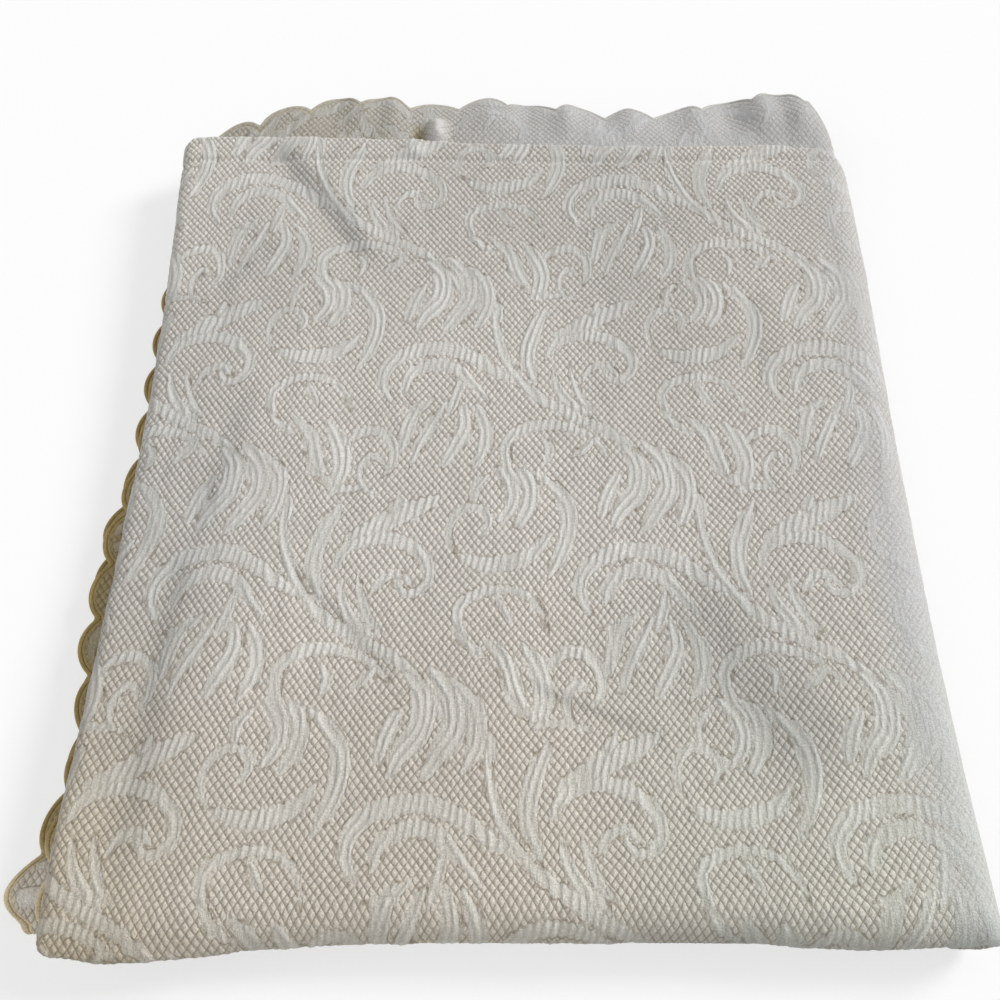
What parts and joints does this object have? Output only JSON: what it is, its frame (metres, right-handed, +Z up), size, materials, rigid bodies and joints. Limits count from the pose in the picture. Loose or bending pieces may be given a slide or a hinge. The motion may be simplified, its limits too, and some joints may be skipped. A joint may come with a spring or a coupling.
{
  "type": "folded bedspread",
  "caption": "Ivory matelasse bedspread with a scalloped hem, folded in quarters both ways into a flat stack, resting on a surface.",
  "frame": {"origin": "centre of the stack's footprint, on the surface that it rests on", "axes": "+X towards the wrapped edge at the right, +Y towards the scalloped hems at the back, +Z up"},
  "size_m": [0.6544, 0.7738, 0.052],
  "materials": {
    "ivory_cotton": "matte cotton with a woven quilted relief"
  },
  "bodies": {
    "root": {"bedspread_sheet": "ivory_cotton"}
  },
  "joints": []
}
